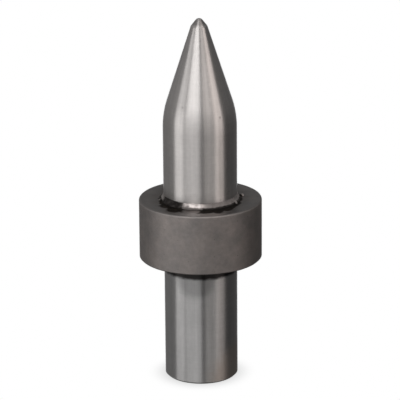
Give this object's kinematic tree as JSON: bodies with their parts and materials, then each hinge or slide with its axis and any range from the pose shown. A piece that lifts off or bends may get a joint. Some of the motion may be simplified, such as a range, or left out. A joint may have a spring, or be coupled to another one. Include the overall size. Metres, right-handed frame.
{
  "type": "thermal friction drill",
  "caption": "Friction drill bit: ground carbide rod with a conical working end and a plain round shank, and a sintered forming collar brazed round it to flatten the rolled rim.",
  "frame": {"origin": "centre of the shank's end face", "axes": "+Z along the drill's axis, from the shank towards the tip; the part is round, so X and Y are free"},
  "size_m": [0.0335, 0.0334, 0.1009],
  "materials": {
    "ground_carbide": "cylindrically ground tungsten carbide, semi-bright",
    "sintered_carbide": "as sintered, matte and finely mottled",
    "braze_filler": "solidified silver braze, bright and uneven"
  },
  "bodies": {
    "root": {"carbide_rod": "ground_carbide", "forming_collar": "sintered_carbide", "braze_joint": "braze_filler"}
  },
  "joints": []
}
